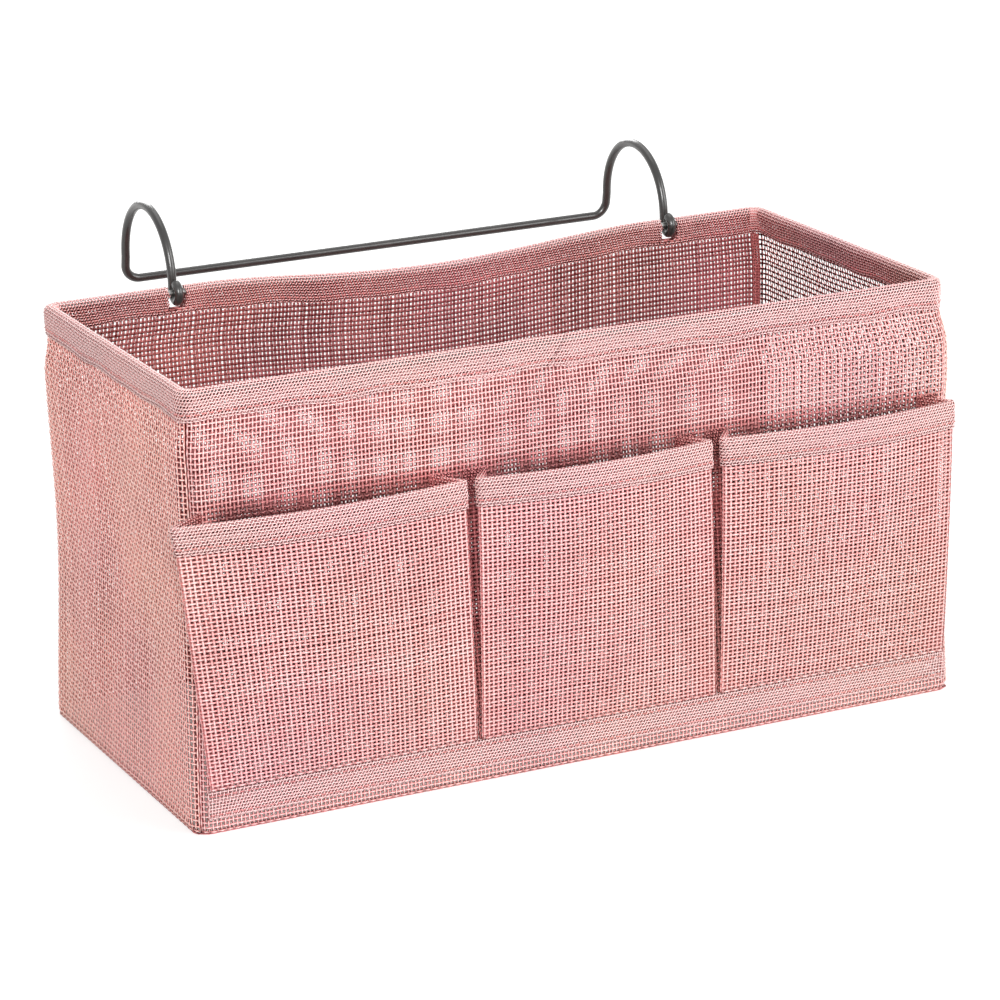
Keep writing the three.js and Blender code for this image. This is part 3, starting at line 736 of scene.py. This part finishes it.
def pocket_sharp(pocket, share, up):
    """Each stretch adds its share of the way from one fold to the next, in x and in depth off the wall. The
    front's edges stand off by a sine of the height, and its middle by a sine of the way across. A gusset ends
    a pleat's width behind its fold, or at the end of the flat wall where the fold hangs over the corner."""
    left, right, left_lean, right_lean, left_flat, right_flat, phase = pocket
    flat, gusset, front, far_gusset, far_flat = stretches(pocket, share)
    z = POCKET_FOOT + (POCKET_TOP - POCKET_FOOT) * up
    left_fold = left + HALF_GAP + (left_lean - MOUTH_SHIFT) * up
    right_fold = right - HALF_GAP + (right_lean - MOUTH_SHIFT) * up
    x = left_fold + (right_fold - left_fold) * front
    behind = np.maximum(PLEAT, -FLAT_HALF - left_fold)
    x = x + behind * (1 - gusset) - left_flat * (1 - flat) - PLEAT * far_gusset + right_flat * far_flat
    opened = np.sin(up * np.pi / 2)
    edge = LAYER + (MOUTH_AT_FOLD - 2 * LAYER) * opened
    depth = LAYER / 2 + LAYER / 2 * (flat - far_flat) + edge * (gusset - far_gusset)
    depth = depth + MOUTH_MORE * opened * np.sin(np.pi * front) + slack(front, up, phase)
    return points_of(x, wall_inset(z) - HALF_DEPTH - depth + CLOTH / 2, z)


def pocket_sheet(pocket, share, up):
    """The sharp shape averaged over a short way to either side, which rounds its folds."""
    reach = FOLD_ROUND / pocket_cut(pocket)
    shifts = np.linspace(-reach, reach, ROUNDING_PLACES)
    return np.mean([pocket_sharp(pocket, np.clip(share + shift, 0, 1), up) for shift in shifts], axis=0)


def fold_shade(pocket, share):
    """Painted shade in the pockets' folds and on the cloth between them: the root of the way back from a fold
    to the wall, and all of it where the cloth lies on the wall."""
    _, gusset, _, far_gusset, _ = stretches(pocket, share)
    return np.maximum(1 - gusset, far_gusset) ** 0.5


for name, pocket in POCKETS.items():
    piece = name + "_pocket_cloth"
    nodes = [name + "_pocket_" + part for part in ("front", "left_gusset", "right_gusset")]
    share = uneven(0, 1, POCKET_ACROSS / pocket_cut(pocket), NEAT)[:, None]
    up = uneven(0, 1, POCKET_UP / (POCKET_TOP - POCKET_FOOT), NEAT)[None]
    grid = pocket_sheet(pocket, share, up)
    shade = fold_shade(pocket, share)
    cloth = add_cloth(piece, grid, MESH_PINK, nodes, POCKET_THREAD, shade=shade)

# %% [markdown]
# ## Pocket hems
# A narrower hem runs along the whole strip, also where it lies on the wall, and there it is pressed flat. It
# is the same fold as the rim's, carried along the top of the pocket's sheet: each leg follows the sheet, and
# the sheet's own normal says where out is.

# %% Pocket hems
POCKET_HEM = 12.5 * MM
POCKET_HEM_THICKNESS = 3.0 * MM
POCKET_HEM_BEND = 1 * MM
PRESSED = 0.3  # the share of its thickness that a hem keeps where it lies on the wall


def pocket_hem_grid(pocket):
    """A hem profile's insets go along the sheet's normal and its heights up the sheet. Above the sheet's top
    edge the profile goes straight up. Returns the grid, its shade and the strip's cut size."""
    inset, height, climb = hem_profile(POCKET_HEM_BEND, POCKET_HEM_THICKNESS, POCKET_HEM)
    share = slanted(pocket_cut(pocket), HEM_ACROSS, climb)
    rise = height[None] + POCKET_HEM_THICKNESS / 2
    up = np.minimum(1 + rise / (POCKET_TOP - POCKET_FOOT), 1)
    sheet = pocket_sheet(pocket, share, up)
    along = np.gradient(sheet, axis=0)
    way_out = unit(points_of(along[..., 1], -along[..., 0], 0))
    _, gusset, _, far_gusset, _ = stretches(pocket, share)
    full = PRESSED + (1 - PRESSED) * (gusset - far_gusset)
    push = full * (POCKET_HEM_THICKNESS / 2 - inset) + (1 - full) * CLOTH / 2
    grid = sheet + way_out * push[..., None]
    grid[..., 2] += np.maximum(rise, 0)
    shade = np.maximum(fold_shade(pocket, share), inner_shade(climb))
    return grid, shade, rounded(pocket_cut(pocket), np.ptp(climb))


hem_grids = []
for name, pocket in POCKETS.items():
    node = name + "_pocket_hem"
    grid, shade, cut = pocket_hem_grid(pocket)
    hem_grids.append(grid)
    hem = add_cloth(node + "_cloth", grid, HEM_PINK, (node,), HEM_THREAD, shade=shade)
    name + "_pocket_cloth"

# %% [markdown]
# ## The band under the pockets
# One doubled strip covers the raw feet of the three pockets. Its profile is a flattened half ring: the powers
# of sine and cosine make it nearly straight in front and round only at its two edges.

# %% Pocket band
BAND_DROP = 2.2 * MM  # its soft lower edge hangs past the solid's
BAND_POWERS = (0.4, 0.8)  # of the cosine and of the sine
BAND_POINTS = 81


def band_grid():
    """Rows are spread evenly round the profile from the lower edge to the upper one, columns along the wall.
    Returns the grid and the strip's cut size."""
    low, high = (np.array(corner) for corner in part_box("pocket_band"))
    low[2] -= BAND_DROP
    width, depth, height = high - low
    turn = np.linspace(-np.pi / 2, np.pi / 2, BAND_POINTS)
    climb = np.sign(turn) * np.abs(np.sin(turn)) ** BAND_POWERS[1]
    y = high[1] - (depth - HEM_SKIN) * np.cos(turn) ** BAND_POWERS[0]
    z = (low[2] + high[2]) / 2 + (height - CLOTH) / 2 * climb
    travel = lengths_of(np.column_stack([y, z]))
    even = np.linspace(0, travel[-1], steps(travel[-1], HEM_UP))
    x = low[0] + width * slanted(width, HEM_ACROSS, even - travel[-1] / 2)
    grid = points_of(x, np.interp(even, travel, y), np.interp(even, travel, z))
    return grid, rounded(width, travel[-1])


band_sheet, cut = band_grid()
band = add_cloth("pocket_band_cloth", band_sheet, HEM_PINK, ("pocket_band",), HEM_THREAD)

# %% [markdown]
# ## Corner tapes
# A narrow folded tape closes each corner seam from behind. The two panels end just short of each other, so
# the tape shows only as a line in the groove that the seam pulls into the cloth. Its colour is painted shade:
# dark, and darkest on its outer side.

# %% Corner tapes
TAPE_WIDTH = 3.2 * MM
TAPE_RISE = 0.4 * MM
TAPE_DEPTH = 3.3 * MM  # from the corner's outside to the tape's edges
TAPE_FOOT = 3 * MM
TAPE_ACROSS = 0.8 * MM
TAPE_UP = 1.4 * MM
TAPE_THREAD = (0.7 * MM, 0.3 * MM, 0.12 * MM, 4)


def tape_grid(right_side, back_side):
    """Across the tape, the way out is a parabola. Up the tape, the corner's diagonal gives its middle."""
    z = np.linspace(TAPE_FOOT, HEM_BOTTOM, steps(HEM_BOTTOM - TAPE_FOOT, TAPE_UP))[None]
    share = np.linspace(-1, 1, steps(TAPE_WIDTH, TAPE_ACROSS))[:, None]
    inset = wall_inset(z)
    radius = wall_radius(z)
    reach = radius - TAPE_DEPTH + TAPE_RISE * (1 - share**2)
    turn = np.arctan2(back_side, right_side)
    aside = share * TAPE_WIDTH / 2
    x = right_side * (HALF_WIDTH - inset - radius) + reach * np.cos(turn) - aside * np.sin(turn)
    y = back_side * (HALF_DEPTH - inset - radius) + reach * np.sin(turn) + aside * np.cos(turn)
    if (right_side, back_side) == (1, -1):
        x = x + corner_slack(z)
    return points_of(x, y, z)


CORNERS = {"front_left": (-1, -1), "front_right": (1, -1), "back_left": (-1, 1), "back_right": (1, 1)}
tapes = {name: [] for name in WALLS}
for name, sides in CORNERS.items():
    node = name + "_binding"
    tape = add_cloth(node + "_tape", tape_grid(*sides), TAPE_PINK_AND_PAINTED_SHADE, (node,), TAPE_THREAD)
    tapes[name.split("_")[0]].append(tape)

# %% [markdown]
# ## Wires
# The ring is bright steel wire. The hanger is one length of thicker wire in black enamel: an eye round the
# ring, an arch over the rail, a leg down behind it, and a bar across to the other hook. One half is worked
# out from arcs and mirrored, and a round section is carried along it.

# %% Ring and hanger
RING_WIRE = 3 * MM
RING_INSET = 3.7 * MM
HANGER_WIRE = 4 * MM
HOOK_RADIUS = 29 * MM
HOOK_LEG = 3.65 * MM
BACK_LEG = 11.45 * MM
BACK_LEG_FLARE = 2.2 * MM
BAR_BEND = 7 * MM
EYE_RADIUS = 3.9 * MM
EYE_MOUTH = 2.2 * MM
WIRE_SIDES = 20
RING_STATIONS = 260
ALMOST_ROUND = 1 - 1e-9  # a whole turn would count as none
EYE_POINTS, ARCH_POINTS, BEND_POINTS, BAR_POINTS = 30, 49, 13, 12
BAR_START = 1.5 * BAR_BEND


def arc(centre_y, centre_z, radius, start, stop, count):
    """Points of a circle in the plane of a hook, at x = 0."""
    angle = np.linspace(start, stop, count)
    return points_of(0.0, centre_y + radius * np.cos(angle), centre_z + radius * np.sin(angle))


def hook_line():
    """The left half of the hanger, from its eye to the middle of the bar, and the way that its section's top
    faces: across the hook's plane at first, and turning with the last bend until it faces up."""
    open_end = np.arccos(1 - (HANGER_WIRE / 2 + EYE_MOUTH) / EYE_RADIUS)
    eye = arc(RING_Y, RING_Z, EYE_RADIUS, open_end, 2 * np.pi, EYE_POINTS)
    arch_y = RING_Y + EYE_RADIUS + HOOK_RADIUS
    arch = arc(arch_y, RING_Z + HOOK_LEG, HOOK_RADIUS, np.pi, 0, ARCH_POINTS)
    drop = np.array([0, BACK_LEG_FLARE, -BACK_LEG])
    leg = unit(drop)
    corner = arch[-1] + drop
    angle = np.linspace(0, np.pi / 2, BEND_POINTS)[:, None]
    start = corner - BAR_BEND * leg
    along_x = np.array([1.0, 0, 0])
    bend = start + BAR_BEND * (np.sin(angle) * leg + (1 - np.cos(angle)) * along_x)
    bar = corner + np.linspace(BAR_START, HOOK_HALF, BAR_POINTS)[:, None] * along_x
    line = np.concatenate([eye, arch, bend, bar])
    faces = np.concatenate([
        np.tile(along_x, (len(eye) + len(arch), 1)),
        np.cos(angle) * along_x - np.sin(angle) * leg,
        np.tile(-leg, (len(bar), 1)),
    ])
    return line - [HOOK_HALF, 0, 0], faces


def round_wire(name, line, faces, diameter, finish, body, node):
    """A round tube along one line, added as a piece."""
    points, groups = tubes(line[None], faces[None], outline(WIRE_SIDES, diameter, diameter))
    add_piece(name, points, groups, finish, body, (node,))


def steel_finish():
    """Zinc-bright wire, paler and duller in patches."""
    finish, place = new_finish("bright_steel")
    patches = finish.noise(place, 60.0, 4.0)
    colour = finish.ramp(patches, (0.3, paint(150, 150, 148)), (0.7, paint(205, 205, 202)))
    return finish.surface(Base_Color=colour, Metallic=1.0, Roughness=0.2 + 0.3 * patches)


def enamel_finish():
    """Black enamel over wire: a skin with a faint orange peel under a clear gloss, dulled in patches."""
    finish, place = new_finish("black_enamel")
    peel = finish.noise(place, 420.0, 2.0)
    wear = finish.noise(place, 45.0, 5.0)
    return finish.surface(
        Base_Color=finish.ramp(wear, (0.35, paint(30, 29, 28)), (0.75, paint(52, 50, 48))),
        Roughness=0.24 + 0.22 * wear,
        Normal=finish.bump(0.15, 0.3 * MM, peel),
        Coat_Weight=0.5,
        Coat_Roughness=0.12,
    )


left_line, left_faces = hook_line()
mirror = np.array([-1, 1, 1])
line = np.concatenate([left_line[:-1], (left_line * mirror)[::-1]]) + [HINGE_X, 0, 0]
faces = np.concatenate([left_faces[:-1], (left_faces * mirror)[::-1]])
round_wire(
    "hanger_wire_enamelled", line, faces, HANGER_WIRE,
    enamel_finish(), "hanger", "hanger_wire",
)

ring_line = along_rim(RING_INSET, -HEM_THICKNESS / 2, np.linspace(0, ALMOST_ROUND, RING_STATIONS))
faces = np.array([[0.0, 0, 1]])
round_wire("rim_wire_bright", ring_line, faces, RING_WIRE, steel_finish(), "bag", "rim_wire")
print("hanger stations:", len(line), "ring stations:", len(ring_line))

# %% [markdown]
# ## Stitches
# Every seam that shows has a row of stitches. A stitch is a short arched thread that dives into the cloth at
# both ends. A row is spread along a line by its length.

# %% Stitches
STITCH_SPACING = 3.3 * MM
STITCH_LENGTH = 2.7 * MM
STITCH_THREAD = 0.4 * MM
STITCH_CORNERS = 4
FIRST_STITCH = 0.3 * MM  # from the start of a row
STITCH_ROWS = (2, -3)  # the threads that a hem's two seams follow, counted from its edges
ON_FACE = 0.2 * MM  # how far a seam lies off the middle of the cloth
STITCH_ARCH = np.array([-0.25, 0.2, 0.32, 0.2, -0.25]) * MM


def stitch_row(line, normals):
    """Stations at five even places of each stitch are read off the line by its length, then lifted along
    the normal by the arch."""
    travel = lengths_of(line)
    starts = np.arange(FIRST_STITCH, travel[-1] - STITCH_LENGTH, STITCH_SPACING)[:, None]
    places = starts + np.linspace(0, STITCH_LENGTH, len(STITCH_ARCH))
    on_line = points_of(*[np.interp(places, travel, line[:, axis]) for axis in range(3)])
    ways = unit(points_of(*[np.interp(places, travel, normals[:, axis]) for axis in range(3)]))
    return on_line + STITCH_ARCH[:, None] * ways, ways


def add_stitches(name, rows):
    """All rows of one seam, as one mesh of short tubes."""
    lines, ways = [np.concatenate(parts) for parts in zip(*[stitch_row(*row) for row in rows])]
    points, faces = tubes(lines, ways, outline(STITCH_CORNERS, STITCH_THREAD, STITCH_THREAD))
    piece = add_piece(name, points, faces, SEAM_PINK)
    count, corners = len(lines), lines.shape[1] * STITCH_CORNERS
    column = np.repeat((np.arange(count) + 0.5) / count, corners)
    spread = np.tile(np.linspace(0.1, 0.9, corners), count)
    strands = np.repeat(dice.uniform(-1, 1, count), corners)
    add_map(piece, np.column_stack([column, spread]), strands, np.zeros(len(strands)))
    print(name, "stitches:", count)


def seam_on(grid, row):
    """A line along one row of a sheet, lifted to its face, and the sheet's normals there."""
    normal = normals_of(grid)[:, row]
    return grid[:, row] + ON_FACE * normal, normal


add_stitches("rim_stitches", [seam_on(fold, row) for row in STITCH_ROWS])
add_stitches("pocket_hem_stitches", [seam_on(grid, STITCH_ROWS[0]) for grid in hem_grids])
add_stitches("pocket_band_stitches", [seam_on(band_sheet, row) for row in STITCH_ROWS])

# %% [markdown]
# ## The loose board
# A thin plastic board keeps the floor of the bag flat. Its solid has the right shape, so it stays and only
# gets a finish: off-white plastic with a fine pebble grain and faint scuffs.

# %% Base board finish
def board_finish():
    """Pebbles are a cell pattern in the bump. Scuffs are stretched noise in the colour and the roughness."""
    finish, place = new_finish("pebbled_board")
    pebbles = finish.node("TexVoronoi", {"feature": "SMOOTH_F1"}, {"Vector": place, "Scale": 650.0})
    stretched = finish.node("Mapping", inputs={"Vector": place, "Scale": (30.0, 220.0, 30.0)})
    scuffs = finish.noise(stretched, 1.0, 4.0)
    return finish.surface(
        Base_Color=finish.ramp(scuffs, (0.35, paint(222, 212, 206)), (0.7, paint(238, 231, 226))),
        Roughness=0.38 + 0.3 * scuffs,
        Normal=finish.bump(0.4, 0.3 * MM, pebbles),
    )


board = frame["nodes"]["base_board"]
board.data.materials.clear()
board.data.materials.append(board_finish())
print("board finish:", board.data.materials[0].name)

# %% [markdown]
# ## Floor, light and background
# The photograph has plain white behind the caddy. The floor is pale and dull, and adds a little white of its
# own only to what the camera sees directly or in a reflection, so it keeps the caddy's shadow and doesn't
# brighten the caddy. The world is white to the camera and a soft grey light to everything else. Of the four
# square lamps, a key and a fill stand in front, one hangs above, and one shines into the bag from behind.

# %% Floor and light
FLOOR_HALF = 6.0
AMBIENT = 0.15
GLOW, GLOW_RISE = 0.54, 0.2  # at the caddy, and for each metre away from it
LAMP_AIM = (0, 0, 0.1)


def seen_directly(finish):
    """One for rays from the camera, from a mirror or through glass, and nought for light."""
    kinds = ("Is Camera Ray", "Is Glossy Ray", "Is Transmission Ray")
    camera_ray, mirrored, through = [finish.node("LightPath", output=kind) for kind in kinds]
    return camera_ray.at_least(mirrored).at_least(through)


def floor_finish():
    """Dull pale grey with a white glow that only direct looks see, and that grows with the distance."""
    finish, place = new_finish("studio_floor")
    distance = finish.node("VectorMath", {"operation": "LENGTH"}, {0: place}, output="Value")
    glow = (GLOW + GLOW_RISE * distance) * seen_directly(finish)
    white = finish.node("CombineColor", inputs={0: glow, 1: glow, 2: glow})
    grey = paint(194, 193, 192)
    return finish.surface(Base_Color=grey, Roughness=0.95, Emission_Color=white, Emission_Strength=1.0)


mesh = bpy.data.meshes.new("floor")
corners = np.array([[-1, -1, 0], [1, -1, 0], [1, 1, 0], [-1, 1, 0]]) * FLOOR_HALF
mesh.from_pydata(corners.tolist(), [], [(0, 1, 2, 3)])
mesh.materials.append(floor_finish())
floor = add_object("floor", mesh)

studio = Finish(bpy.data.worlds.new("studio"))
strength = AMBIENT + (1 - AMBIENT) * seen_directly(studio)
scene.world = studio.surface("Background", Color=(1, 1, 1, 1), Strength=strength)

# Each lamp: name, place, side of its square in metres, watts
LAMPS = [
    ("key", (-1.3, -2.4, 1.4), 1.1, 75.0),
    ("fill", (1.7, -1.8, 1.1), 1.6, 40.0),
    ("top", (0.2, 0.5, 2.2), 1.5, 8.0),
    ("back", (0.4, 2.6, 1.3), 1.6, 42.0),
]
for name, place, side, watts in LAMPS:
    lamp = add_object(name, bpy.data.lights.new(name, "AREA"))
    lamp.data.size = side
    lamp.data.energy = watts
    back = unit(np.array(place) - LAMP_AIM)
    aside = unit(np.cross([0, 0, 1], back))
    stand(lamp, aside, np.cross(back, aside), back, place)
scene.view_settings.view_transform = "Standard"
print("lamps:", [lamp[0] for lamp in LAMPS])
